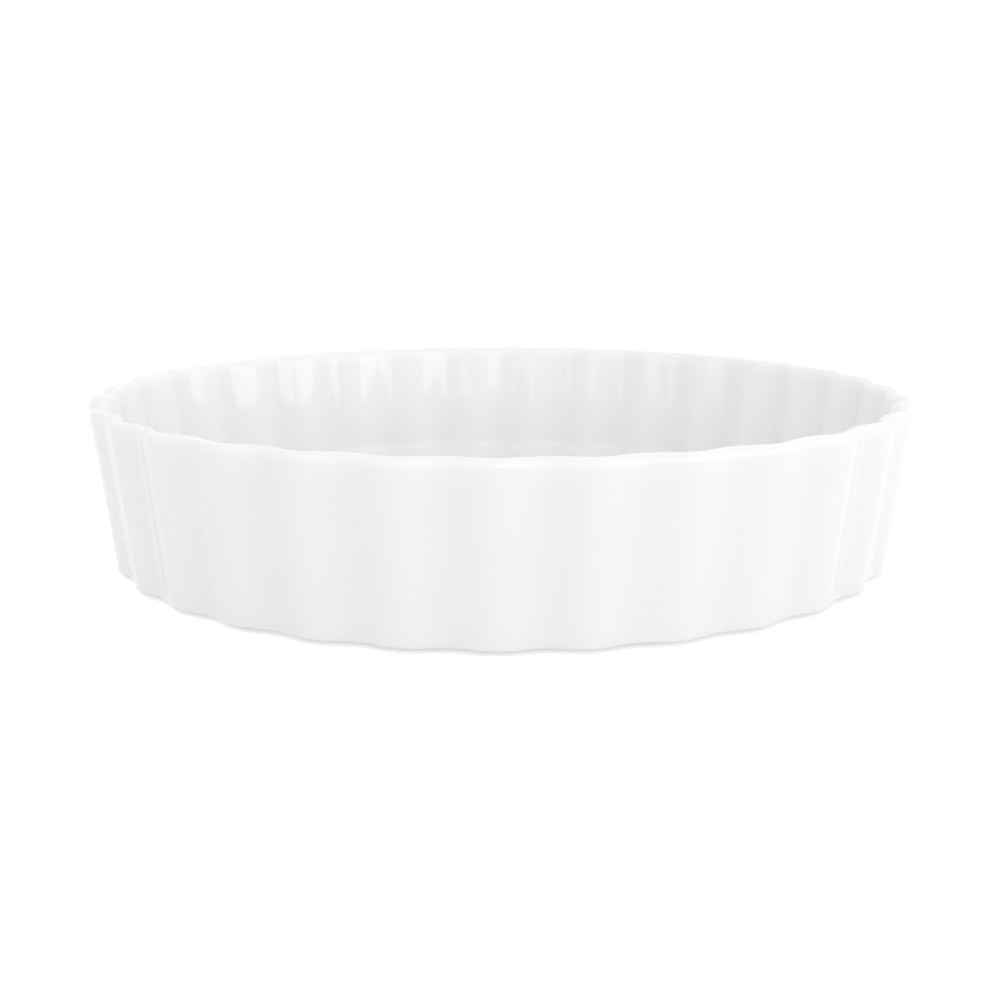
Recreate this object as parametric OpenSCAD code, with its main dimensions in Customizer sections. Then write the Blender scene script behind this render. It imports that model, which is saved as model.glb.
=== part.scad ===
// A round fluted quiche dish of glazed porcelain, fired in one piece.
// The origin is the centre of the foot ring, on the table, with +Z up.
// One flute crest faces -Y.

/* [Dish] */
// Largest diameter, over the flute crests at the rim
rim_d = 254; // [200:1:320]
// Height from the table to the top of the lip
dish_h = 50; // [35:1:70]
// Angle by which the wall leans outward from the vertical
wall_lean = 7; // [2:0.5:20]
// Thickness of the wall
wall_t = 4.8; // [3.5:0.1:8]
// Thickness of the floor inside the foot ring
floor_t = 5; // [3:0.1:9]

/* [Flutes] */
// Number of flutes round the wall
flutes = 32; // [20:1:36]
// Depth of a flute from crest to valley, on the outer face at the rim
flute_depth = 2.2; // [1:0.1:4]
// Depth of a flute on the inner face at the rim
inner_flute_depth = 2.8; // [1:0.1:4]

/* [Edges] */
// Height of the lip, over which both faces of the wall round off
lip_h = 2.6; // [1.5:0.1:6]
// Radius between the floor and the wall, inside the dish
fillet_r = 9; // [4:0.5:14]
// Radius between the wall and the underside, outside the dish
heel_r = 1.2; // [0.6:0.1:3]

/* [Foot ring] */
// Height of the foot ring below the underside
foot_h = 1; // [0.6:0.1:3]
// Width of the flat face that the dish stands on
foot_w = 4.5; // [3:0.1:9]
// Space between the foot ring and the valleys of the wall's lower edge
foot_inset = 4; // [2:0.5:15]
// Slope of the sides of the foot ring, from the vertical
foot_slope = 35; // [10:1:50]

/* [Hidden] */

// Points round one flute, and round the whole outline
flute_points = 10;
outline_points = flutes * flute_points;

// Segments in the three rounded stretches of the wall's section
heel_steps = 2;
lip_steps = 6;
fillet_steps = 5;

// Mean radius of the rim, halfway between crest and valley
rim_r = (rim_d - flute_depth) / 2;
// Shares of the mean radius by which a crest stands out and a valley lies in, on each face
outer_share = flute_depth / 2 / rim_r;
inner_share = inner_flute_depth / 2 / rim_r;

// Heights of the underside and of the floor
underside_z = foot_h;
floor_z = underside_z + floor_t;

// Centre of the lip, as [mean radius, height]. The lip is half an ellipse that leans with the
// wall, so its centre lies below the rim's top and inside its edge by these two reaches.
half_wall = wall_t / 2;
lip_reach_out = norm([half_wall * cos(wall_lean), lip_h * sin(wall_lean)]);
lip_reach_up = norm([lip_h * cos(wall_lean), half_wall * sin(wall_lean)]);
lip_c = [rim_r - lip_reach_out, dish_h - lip_reach_up];

// Point at height z that lies the distance d inward of the wall's middle line. The line leans
// with the wall and runs through the lip's centre, so a face lies half_wall from it on each side.
function off_wall(d, z) = [
    lip_c[0] - (lip_c[1] - z) * tan(wall_lean) - d / cos(wall_lean),
    z
];

// Centres of the roundings: the heel's touches the underside and the outer face from within,
// and the fillet's touches the floor and the inner face from inside the dish
heel_c = off_wall(heel_r - half_wall, underside_z + heel_r);
fillet_c = off_wall(fillet_r + half_wall, floor_z + fillet_r);

// Points on a circle of the section, from one angle to another
function arc(c, r, from, to, steps) = [
    for (i = [0 : steps])
        let (angle = from + (to - from) * i / steps)
            c + r * [cos(angle), sin(angle)]
];

// Half ellipse of the lip, from the outer face to the inner one
lip = [
    for (i = [0 : lip_steps])
        let (angle = 180 * i / lip_steps, out = half_wall * cos(angle), up = lip_h * sin(angle))
            lip_c + out * [cos(wall_lean), -sin(wall_lean)] + up * [sin(wall_lean), cos(wall_lean)]
];

// A point of the section as [mean radius, height, flute share], where inward runs from 0 on the
// outer face to 1 on the inner one
function fluted(p, inward) = [
    p[0],
    p[1],
    outer_share + inward * (inner_share - outer_share)
];

// Section of the wall, from the underside over the lip to the floor
section = concat(
    [for (p = arc(heel_c, heel_r, -90, -wall_lean, heel_steps)) fluted(p, 0)],
    [for (i = [0 : lip_steps]) fluted(lip[i], i / lip_steps)],
    [for (p = arc(fillet_c, fillet_r, -wall_lean, -90, fillet_steps)) fluted(p, 1)]
);

// The fluted outline at one point of the section. Crests and valleys lie at the same places round
// the dish at every height, on both faces.
function fluted_ring(p) = [
    for (i = [0 : outline_points - 1])
        let (turn = 360 * i / outline_points)
            let (reach = p[0] * (1 + p[2] * cos(flutes * turn)))
                [reach * sin(turn), -reach * cos(turn), p[1]]
];

// Wall and floor: the fluted outline is carried along the section, and a flat face closes each end
module fluted_shell() {
    last = len(section) - 1;
    points = [for (p = section) each fluted_ring(p)];
    bands = [
        for (ring = [0 : last - 1], i = [0 : outline_points - 1])
            let (j = (i + 1) % outline_points)
                let (low = ring * outline_points, high = low + outline_points)
                    [low + i, high + i, high + j, low + j]
    ];
    underside = [for (i = [0 : outline_points - 1]) i];
    floor_face = [for (i = [outline_points - 1 : -1 : 0]) last * outline_points + i];
    polyhedron(points, concat(bands, [underside, floor_face]));
}

// Foot ring: round and set in from the fluted edge, with sloping sides that run into the underside
module foot_ring() {
    outer_r = heel_c[0] * (1 - outer_share) - foot_inset;
    spread = foot_h * tan(foot_slope);
    root = floor_t / 2;
    rotate_extrude($fn = outline_points)
        polygon([
            [outer_r - spread - foot_w, 0],
            [outer_r - spread, 0],
            [outer_r, underside_z],
            [outer_r, underside_z + root],
            [outer_r - 2 * spread - foot_w, underside_z + root],
            [outer_r - 2 * spread - foot_w, underside_z]
        ]);
}

module dish() {
    color("white")
        union() {
            fluted_shell();
            foot_ring();
        }
}

dish();
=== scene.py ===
"""A round fluted quiche dish of white glazed porcelain, on a pale floor in a soft white studio."""

import math

import bpy
import numpy as np
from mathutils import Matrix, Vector


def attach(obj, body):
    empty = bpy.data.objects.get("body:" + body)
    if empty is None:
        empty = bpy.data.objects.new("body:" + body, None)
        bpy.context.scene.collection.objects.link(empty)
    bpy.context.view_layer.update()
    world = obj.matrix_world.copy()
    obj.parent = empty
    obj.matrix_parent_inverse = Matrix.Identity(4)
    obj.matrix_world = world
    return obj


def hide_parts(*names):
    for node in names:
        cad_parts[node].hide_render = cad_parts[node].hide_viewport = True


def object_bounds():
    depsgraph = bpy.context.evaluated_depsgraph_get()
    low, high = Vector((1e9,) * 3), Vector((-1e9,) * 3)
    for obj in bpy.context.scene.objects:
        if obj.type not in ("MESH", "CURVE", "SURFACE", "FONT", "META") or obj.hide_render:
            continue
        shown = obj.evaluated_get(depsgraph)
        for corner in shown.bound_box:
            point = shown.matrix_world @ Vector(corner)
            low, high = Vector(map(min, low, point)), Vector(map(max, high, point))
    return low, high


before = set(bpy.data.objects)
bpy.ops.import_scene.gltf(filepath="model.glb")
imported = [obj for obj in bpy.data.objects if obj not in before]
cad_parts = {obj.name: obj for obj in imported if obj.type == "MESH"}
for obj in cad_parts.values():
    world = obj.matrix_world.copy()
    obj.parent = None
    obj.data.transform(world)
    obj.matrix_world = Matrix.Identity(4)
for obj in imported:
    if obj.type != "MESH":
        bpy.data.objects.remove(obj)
cad_low, cad_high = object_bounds()

# Sizes of the dish in metres and degrees. The overall ones come from the bounds of the imported
# solid, the others are those of its solid.
MM = 0.001
RIM_D = cad_high.x - cad_low.x
DISH_H = cad_high.z
FLUTES = 32
FLUTE_DEPTH = 2.2 * MM
INNER_FLUTE_DEPTH = 2.8 * MM
WALL_LEAN = 7
WALL_T = 4.8 * MM
FLOOR_T = 5 * MM
LIP_H = 2.6 * MM
FILLET_R = 9 * MM
HEEL_R = 1.2 * MM
FOOT_H = 1 * MM
FOOT_W = 4.5 * MM
FOOT_INSET = 4 * MM
FOOT_SLOPE = 35

# Rounding of the foot ring's edges, which are sharp on the solid
FOOT_EDGE_R = 0.4 * MM

# Slow waves round the dish, each as (waves round the dish, swing, start): those by which the flutes'
# places drift, in radians of one flute and on top of a shift, and those of the wall's unevenness,
# whose swings add up to 1
FLUTE_SHIFT = -0.32
FLUTE_DRIFT = ((1, 0.36, 0.63), (2, 0.23, -1.83), (7, 0.04, 2.1))
WARP = ((2, 0.5, 1.1), (5, 0.3, 0.4), (9, 0.2, 0))

# How far the hand-fettled wall may lie inward of the true form at the rim
UNEVEN = 0.12 * MM

# How much narrower than their ridges the flutes of the inner face are
INNER_NARROWER = 0.05

# How much of the fluting the strip between the round foot ring and the fluted edge takes
STRIP_FLUTING = 0.5

# Points round one flute, and segments along each stretch of the section
FLUTE_POINTS = 24
FLAT_STEPS = 5
EDGE_STEPS = 3
HEEL_STEPS = 7
WALL_STEPS = 10
LIP_STEPS = 16
FILLET_STEPS = 12
FLOOR_STEPS = 8

# How much glaze gathers on each stretch of the section, from 0 for thin to 1 for thick, and how much
# more of it lies in a flute's valley
POOL_EDGE = 0
POOL_HEEL = 0.1
POOL_FLOOR = 0.3
POOL_OUTER = 0.4
POOL_FILLET = 0.6
POOL_INNER_WALL = 0.7
POOL_CORNER = 0.8
POOL_VALLEY = 0.25

# Colours of the glaze where it lies thin and thick, and of the bare body of the foot ring
GLAZE_THIN = (0.905, 0.905, 0.898, 1)
GLAZE_THICK = (0.868, 0.874, 0.874, 1)
BARE_BODY = (0.78, 0.755, 0.715, 1)
BARE_GRAIN = (0.66, 0.63, 0.585, 1)

# Noises as (size of their features, detail): the glaze's thickness, its polish, its waves and its
# fine skin, the body's grain, and the ragged line at which the glaze stops
THICKNESS_NOISE = (35 * MM, 2)
POLISH_NOISE = (8 * MM, 3)
WAVE_NOISE = (16 * MM, 1)
SKIN_NOISE = (2.5 * MM, 2)
GRAIN_NOISE = (0.5 * MM, 4)
RAGGED_NOISE = (3 * MM, 2)
NOISE_MIDDLE = 0.5

# How far those noises shift the glaze's thickness and its edge, and how high they raise the surface
THICKNESS_REACH = 0.5
RAGGED_REACH = 0.6
WAVE_HEIGHT = 0.16 * MM
SKIN_HEIGHT = 0.004 * MM
GRAIN_HEIGHT = 0.04 * MM

# Spans of a value over which the polish, the grain and the bare body go from one state to the other
POLISH_SPAN = (0.3, 0.7)
GRAIN_SPAN = (0.35, 0.65)
BARE_SPAN = (0.45, 0.6)

# How the glaze refracts, how rough it is where it is best and least polished, and how rough the
# bare body is
GLAZE_IOR = 1.52
GLAZE_ROUGHNESS = (0.01, 0.025)
BARE_ROUGHNESS = 0.8

# The camera of the photograph: how high it looks down from, and its place along its own axes from
# the middle of the glazed underside
CAMERA_ELEVATION = 12.07
CAMERA_BACK = 465.6 * MM
CAMERA_RIGHT = -0.3 * MM
CAMERA_UP = 12.1 * MM
CAMERA_LENS = 51.48
SENSOR_WIDTH = 36

# The floor's own colour, and what the camera sees of it: a part that takes the shadow and a part
# that doesn't, which together come out as white
FLOOR_SIZE = 8
FLOOR_COLOUR = (0.8, 0.8, 0.8, 1)
FLOOR_SEEN = (0.5, 0.5, 0.5, 1)
FLOOR_GLOW = 0.68

# Soft boxes as name: (azimuth, elevation, width, height, watts). They stand at one distance round
# the dish and are aimed at a point just above its floor; azimuth 0 is the camera's side and 90 is on
# its right. The low ones are the windows that mirror in the glaze of the inner rear wall.
BOX_DISTANCE = 1.3
SOFT_BOXES = {
    "high_left": (-60, 48, 0.8, 0.6, 0.9),
    "high_front": (14, 30, 1.2, 0.55, 1.7),
    "high_right": (78, 30, 1.4, 0.55, 1.3),
    "high_back": (180, 42, 2.4, 1, 1.8),
    "window_left": (-36, 11.5, 0.65, 0.24, 0.34),
    "window_right": (60, 9, 1.2, 0.32, 1.4),
}
AIM = Vector((0, 0, 20 * MM))

# The pale room: its glow level with the dish, and how much less it glows overhead and more in front
ROOM_COLOUR = (1, 1, 1, 1)
ROOM_GLOW = 1
ROOM_TOP = 0.3
ROOM_FRONT = 0.04

# Where the Mix node has its two inputs and its output, for each kind of value
MIX_SOCKETS = {"FLOAT": (2, 3, 0), "VECTOR": (4, 5, 1), "RGBA": (6, 7, 2)}


def arc(centre, radius, start, end, steps):
    """Points on a circle of the section, from one angle to another in degrees."""
    angles = np.radians(np.linspace(start, end, steps + 1))
    return centre + radius * np.stack([np.cos(angles), np.sin(angles)], axis=1)


def line(start, end, steps):
    """Points along a straight stretch of the section, without its two ends."""
    shares = np.linspace(0, 1, steps + 1)[1:-1, None]
    return np.asarray(start) * (1 - shares) + np.asarray(end) * shares


def dish_section():
    """The section from the middle of the underside over the lip to the middle of the floor.

    Each row is [mean radius, height, fluting, share of the inner face, glaze pooling, bare body].
    """
    lean = math.radians(WALL_LEAN)
    along = np.array([math.sin(lean), math.cos(lean)])
    across = np.array([math.cos(lean), -math.sin(lean)])
    rim_r = (RIM_D - FLUTE_DEPTH) / 2
    half_wall = WALL_T / 2
    lip_out = np.hypot(half_wall * across[0], LIP_H * along[0])
    lip_up = np.hypot(half_wall * across[1], LIP_H * along[1])
    lip_c = np.array([rim_r - lip_out, DISH_H - lip_up])
    floor_z = FOOT_H + FLOOR_T

    def off_wall(inward, height):
        """The point at a height that lies a distance inward of the wall's middle line."""
        drop = (lip_c[1] - height) * math.tan(lean)
        return np.array([lip_c[0] - drop - inward / math.cos(lean), height])

    heel_c = off_wall(HEEL_R - half_wall, FOOT_H + HEEL_R)
    fillet_c = off_wall(FILLET_R + half_wall, floor_z + FILLET_R)
    foot_r = heel_c[0] * (1 - FLUTE_DEPTH / 2 / rim_r) - FOOT_INSET
    spread = FOOT_H * math.tan(math.radians(FOOT_SLOPE))
    edge_in = np.array([foot_r - spread - FOOT_W + FOOT_EDGE_R, FOOT_EDGE_R])
    edge_out = np.array([foot_r - spread - FOOT_EDGE_R, FOOT_EDGE_R])
    ring_in = [foot_r - 2 * spread - FOOT_W, FOOT_H]
    ring_out = [foot_r, FOOT_H]

    heel = arc(heel_c, HEEL_R, -90, -WALL_LEAN, HEEL_STEPS)
    unit = arc(0, 1, 0, 180, LIP_STEPS)
    lip = lip_c + half_wall * unit[:, :1] * across + LIP_H * unit[:, 1:] * along
    fillet = arc(fillet_c, FILLET_R, -WALL_LEAN, -90, FILLET_STEPS)
    inner_edge = arc(edge_in, FOOT_EDGE_R, 180 + FOOT_SLOPE, 270, EDGE_STEPS)
    outer_edge = arc(edge_out, FOOT_EDGE_R, -90, -FOOT_SLOPE, EDGE_STEPS)
    over_lip = np.linspace(0, 1, LIP_STEPS + 1)

    stretches = [
        (line([0, FOOT_H], ring_in, FLOOR_STEPS), 0, 0, POOL_OUTER, 0),
        (np.array([ring_in]), 0, 0, POOL_CORNER, 0),
        (inner_edge, 0, 0, POOL_EDGE, 1),
        (line(inner_edge[-1], outer_edge[0], FLAT_STEPS), 0, 0, POOL_EDGE, 1),
        (outer_edge, 0, 0, POOL_EDGE, 1),
        (np.array([ring_out]), 0, 0, POOL_CORNER, 0),
        (line(ring_out, heel[0], FLAT_STEPS), STRIP_FLUTING, 0, POOL_OUTER, 0),
        (heel, 1, 0, POOL_HEEL, 0),
        (line(heel[-1], lip[0], WALL_STEPS), 1, 0, POOL_OUTER, 0),
        (lip, 1, over_lip, POOL_EDGE, 0),
        (line(lip[-1], fillet[0], WALL_STEPS), 1, 1, POOL_INNER_WALL, 0),
        (fillet, 1, 1, POOL_FILLET, 0),
        (line(fillet[-1], [0, floor_z], FLOOR_STEPS), 0, 1, POOL_FLOOR, 0),
    ]
    rows = []
    for points, *facts in stretches:
        columns = [np.broadcast_to(fact, len(points)) for fact in facts]
        rows.append(np.column_stack([points, *columns]))
    return np.vstack(rows)


def slow_waves(turn, waves):
    """The sum of some waves round the dish, each as (waves round the dish, swing, start)."""
    return sum(swing * np.sin(count * turn + start) for count, swing, start in waves)


def dish_faces(rings, around):
    """Faces between neighbouring rings of points, and a fan at each end of the section."""
    here = np.arange(around)
    onward = (here + 1) % around
    ring = np.arange(rings - 1)[:, None] * around
    low, low_next = ring + here, ring + onward
    bands = np.stack([low, low_next, low_next + around, low + around], axis=2).reshape(-1, 4)
    last = (rings - 1) * around
    under, top = rings * around, rings * around + 1
    fans = []
    for i, j in zip(here.tolist(), onward.tolist()):
        fans.append((under, j, i))
        fans.append((top, last + i, last + j))
    return bands.tolist() + fans


def dish_surface():
    """Vertices, faces and the two glaze masks of the whole dish."""
    section = dish_section()
    rings, around = len(section), FLUTES * FLUTE_POINTS
    turn = np.linspace(0, 2 * math.pi, around, endpoint=False)[None, :]
    radius, height, fluting, inner, pool, bare = (column[:, None] for column in section.T)

    # The flutes drift a little round the dish, and are deeper and narrower on the inner face
    phase = FLUTES * turn - FLUTE_SHIFT - slow_waves(turn, FLUTE_DRIFT)
    wave = np.cos(phase) + inner * INNER_NARROWER * np.cos(2 * phase)
    share = (FLUTE_DEPTH + inner * (INNER_FLUTE_DEPTH - FLUTE_DEPTH)) / (RIM_D - FLUTE_DEPTH)

    # The unevenness grows from the table to the rim, and only ever draws the wall inward
    uneven = UNEVEN * height / DISH_H * fluting * (slow_waves(turn, WARP) - 1) / 2
    reach = radius * (1 + share * fluting * wave) + uneven
    points = np.stack(
        [reach * np.sin(turn), -reach * np.cos(turn), np.broadcast_to(height, reach.shape)],
        axis=2,
    ).reshape(-1, 3)
    middles = [[0, 0, section[0, 1]], [0, 0, section[-1, 1]]]

    # Glaze runs thin off the crests and gathers in the valleys, which swap sides with the wall
    hollow = np.where(inner < 1, -wave, wave) * fluting
    pooled = np.clip(pool + POOL_VALLEY * hollow, 0, 1)
    masks = {
        "pooled": np.append(pooled, [section[0, 4], section[-1, 4]]),
        "bare": np.append(np.broadcast_to(bare, reach.shape), [0, 0]),
    }
    return np.vstack([points, middles]), dish_faces(rings, around), masks


def build_dish():
    """The dish as one closed, smooth mesh that stands for its faceted solid."""
    points, faces, masks = dish_surface()
    mesh = bpy.data.meshes.new("fluted_dish")
    mesh.from_pydata(points.tolist(), [], faces)
    for name, values in masks.items():
        attribute = mesh.attributes.new(name, "FLOAT", "POINT")
        attribute.data.foreach_set("value", values.astype(np.float32))
    mesh.polygons.foreach_set("use_smooth", [True] * len(mesh.polygons))
    mesh.update()
    dish = bpy.data.objects.new("fluted_dish", mesh)
    bpy.context.scene.collection.objects.link(dish)
    mesh.materials.append(porcelain())
    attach(dish, "root")
    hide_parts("dish")


class Nodes:
    """A node tree, with short calls for the nodes that the materials and the room share."""

    def __init__(self, owner):
        owner.use_nodes = True
        self.tree = owner.node_tree
        self.tree.nodes.clear()

    def add(self, kind, **settings):
        node = self.tree.nodes.new(kind)
        for name, value in settings.items():
            setattr(node, name, value)
        return node

    def put(self, socket, value):
        """Set an input to a constant, or link another node's output to it."""
        if isinstance(value, bpy.types.NodeSocket):
            self.tree.links.new(value, socket)
        else:
            socket.default_value = value

    def show(self, kind, shader):
        """Send a shader to a new output node."""
        self.put(self.add(kind).inputs["Surface"], shader)

    def attribute(self, name):
        return self.add("ShaderNodeAttribute", attribute_name=name).outputs["Fac"]

    def noise(self, feature, detail):
        """Noise on the object's own coordinates, with features of that size in metres."""
        coordinates = self.add("ShaderNodeTexCoord")
        noise = self.add("ShaderNodeTexNoise")
        self.put(noise.inputs["Vector"], coordinates.outputs["Object"])
        self.put(noise.inputs["Scale"], 1 / feature)
        self.put(noise.inputs["Detail"], detail)
        return noise.outputs["Fac"]

    def combine(self, operation, first, second):
        """The Math node on two values, each a number or a socket."""
        node = self.add("ShaderNodeMath", operation=operation)
        self.put(node.inputs[0], first)
        self.put(node.inputs[1], second)
        return node.outputs[0]

    def swing(self, noise, reach):
        """Noise about zero, over that reach."""
        return self.combine("MULTIPLY", self.combine("SUBTRACT", noise, NOISE_MIDDLE), reach)

    def remap(self, value, span, results=(0, 1)):
        """A soft step over a span of the value, from the first result to the second."""
        node = self.add("ShaderNodeMapRange", interpolation_type="SMOOTHSTEP")
        self.put(node.inputs["Value"], value)
        sockets = ("From Min", "From Max", "To Min", "To Max")
        for socket, number in zip(sockets, (*span, *results)):
            self.put(node.inputs[socket], number)
        return node.outputs["Result"]

    def mix(self, kind, share, first, second):
        """A number, vector or colour between two, each a constant or a socket."""
        node = self.add("ShaderNodeMix", data_type=kind)
        first_input, second_input, result = MIX_SOCKETS[kind]
        self.put(node.inputs["Factor"], share)
        self.put(node.inputs[first_input], first)
        self.put(node.inputs[second_input], second)
        return node.outputs[result]

    def shown_white(self, plain, white):
        """One shader for the rays that show the background, and the plain one for all others."""
        path = self.add("ShaderNodeLightPath")
        rays = self.combine("MAXIMUM", path.outputs["Is Camera Ray"], path.outputs["Is Glossy Ray"])
        rays = self.combine("MAXIMUM", rays, path.outputs["Is Transmission Ray"])
        node = self.add("ShaderNodeMixShader")
        self.put(node.inputs[0], rays)
        self.put(node.inputs[1], plain.outputs[0])
        self.put(node.inputs[2], white.outputs[0])
        return node.outputs[0]

    def bump(self, height, distance, normal=None):
        node = self.add("ShaderNodeBump")
        self.put(node.inputs["Strength"], 1)
        self.put(node.inputs["Distance"], distance)
        self.put(node.inputs["Height"], height)
        if normal is not None:
            self.put(node.inputs["Normal"], normal)
        return node.outputs["Normal"]


def porcelain():
    """Clear gloss glaze over a white body, and the bare ring that the dish was fired on."""
    material = bpy.data.materials.new("glazed_porcelain")
    nodes = Nodes(material)

    # The glaze stops in a slightly ragged line on the sides of the foot ring
    ragged = nodes.swing(nodes.noise(*RAGGED_NOISE), RAGGED_REACH)
    bare = nodes.remap(nodes.combine("ADD", nodes.attribute("bare"), ragged), BARE_SPAN)

    # Glaze colour drifts with its thickness, and the bare body has a fine grain
    drift = nodes.swing(nodes.noise(*THICKNESS_NOISE), THICKNESS_REACH)
    thick = nodes.combine("ADD", nodes.attribute("pooled"), drift)
    glaze_colour = nodes.mix("RGBA", thick, GLAZE_THIN, GLAZE_THICK)
    grain = nodes.remap(nodes.noise(*GRAIN_NOISE), GRAIN_SPAN)
    body_colour = nodes.mix("RGBA", grain, BARE_BODY, BARE_GRAIN)
    polish = nodes.remap(nodes.noise(*POLISH_NOISE), POLISH_SPAN, GLAZE_ROUGHNESS)

    # The glaze surface waves very slightly, with a faint skin of finer ripples
    waves = nodes.bump(nodes.noise(*WAVE_NOISE), WAVE_HEIGHT)
    skin = nodes.bump(nodes.noise(*SKIN_NOISE), SKIN_HEIGHT, normal=waves)
    rough = nodes.bump(grain, GRAIN_HEIGHT, normal=waves)

    shader = nodes.add("ShaderNodeBsdfPrincipled")
    nodes.put(shader.inputs["Base Color"], nodes.mix("RGBA", bare, glaze_colour, body_colour))
    nodes.put(shader.inputs["Roughness"], nodes.mix("FLOAT", bare, polish, BARE_ROUGHNESS))
    nodes.put(shader.inputs["Normal"], nodes.mix("VECTOR", bare, skin, rough))
    nodes.put(shader.inputs["IOR"], GLAZE_IOR)
    nodes.show("ShaderNodeOutputMaterial", shader.outputs["BSDF"])
    return material


def floor_material():
    """A pale floor that the camera and the glaze see as white, apart from the dish's soft shadow."""
    material = bpy.data.materials.new("pale_floor")
    nodes = Nodes(material)
    plain = nodes.add("ShaderNodeBsdfDiffuse")
    nodes.put(plain.inputs["Color"], FLOOR_COLOUR)
    seen = nodes.add("ShaderNodeBsdfDiffuse")
    nodes.put(seen.inputs["Color"], FLOOR_SEEN)
    glow = nodes.add("ShaderNodeEmission")
    nodes.put(glow.inputs["Strength"], FLOOR_GLOW)
    white = nodes.add("ShaderNodeAddShader")
    nodes.put(white.inputs[0], seen.outputs[0])
    nodes.put(white.inputs[1], glow.outputs[0])
    nodes.show("ShaderNodeOutputMaterial", nodes.shown_white(plain, white))
    return material


def build_floor():
    """A wide pale floor at the level of the foot ring."""
    half = FLOOR_SIZE / 2
    mesh = bpy.data.meshes.new("floor")
    corners = [(-half, -half, 0), (half, -half, 0), (half, half, 0), (-half, half, 0)]
    mesh.from_pydata(corners, [], [(0, 1, 2, 3)])
    floor = bpy.data.objects.new("floor", mesh)
    bpy.context.scene.collection.objects.link(floor)
    mesh.materials.append(floor_material())


def build_lights():
    """Soft boxes round the dish, brighter on the right than on the left."""
    for name, (azimuth, elevation, width, height, watts) in SOFT_BOXES.items():
        turn, lift = math.radians(azimuth), math.radians(elevation)
        level = Vector((math.sin(turn), -math.cos(turn), 0))
        toward = math.cos(lift) * level + math.sin(lift) * Vector((0, 0, 1))
        light = bpy.data.lights.new(name, "AREA")
        light.shape = "RECTANGLE"
        light.size = width
        light.size_y = height
        light.energy = watts
        box = bpy.data.objects.new(name, light)
        bpy.context.scene.collection.objects.link(box)
        box.location = AIM + BOX_DISTANCE * toward
        box.rotation_euler = (-toward).to_track_quat("-Z", "Y").to_euler()
        box.visible_camera = False


def build_room():
    """A pale room, darker overhead, that the camera and the glaze see as white."""
    world = bpy.data.worlds.new("room")
    bpy.context.scene.world = world
    nodes = Nodes(world)
    direction = nodes.add("ShaderNodeTexCoord")
    split = nodes.add("ShaderNodeSeparateXYZ")
    nodes.put(split.inputs[0], direction.outputs["Generated"])
    front = nodes.combine("MULTIPLY", split.outputs["Y"], -ROOM_FRONT)
    top = nodes.combine("MULTIPLY", split.outputs["Z"], -ROOM_TOP)
    glow = nodes.combine("ADD", nodes.combine("ADD", front, top), ROOM_GLOW)
    plain = nodes.add("ShaderNodeBackground")
    nodes.put(plain.inputs["Color"], ROOM_COLOUR)
    nodes.put(plain.inputs["Strength"], glow)
    white = nodes.add("ShaderNodeBackground")
    nodes.put(white.inputs["Color"], ROOM_COLOUR)
    nodes.show("ShaderNodeOutputWorld", nodes.shown_white(plain, white))


def build_camera():
    """The photograph's view: a little above the rim, with one flute crest facing it."""
    tilt = math.radians(CAMERA_ELEVATION)
    data = bpy.data.cameras.new("camera")
    data.lens = CAMERA_LENS
    data.sensor_width = SENSOR_WIDTH
    camera = bpy.data.objects.new("camera", data)
    bpy.context.scene.collection.objects.link(camera)
    forward = Vector((0, math.cos(tilt), -math.sin(tilt)))
    up = Vector((0, math.sin(tilt), math.cos(tilt)))
    right = Vector((1, 0, 0))
    underside = Vector((0, 0, FOOT_H))
    camera.location = underside + CAMERA_RIGHT * right + CAMERA_UP * up - CAMERA_BACK * forward
    camera.rotation_euler = (math.radians(90 - CAMERA_ELEVATION), 0, 0)
    bpy.context.scene.camera = camera


build_camera()
build_dish()
build_floor()
build_lights()
build_room()
bpy.context.scene.view_settings.view_transform = "Standard"
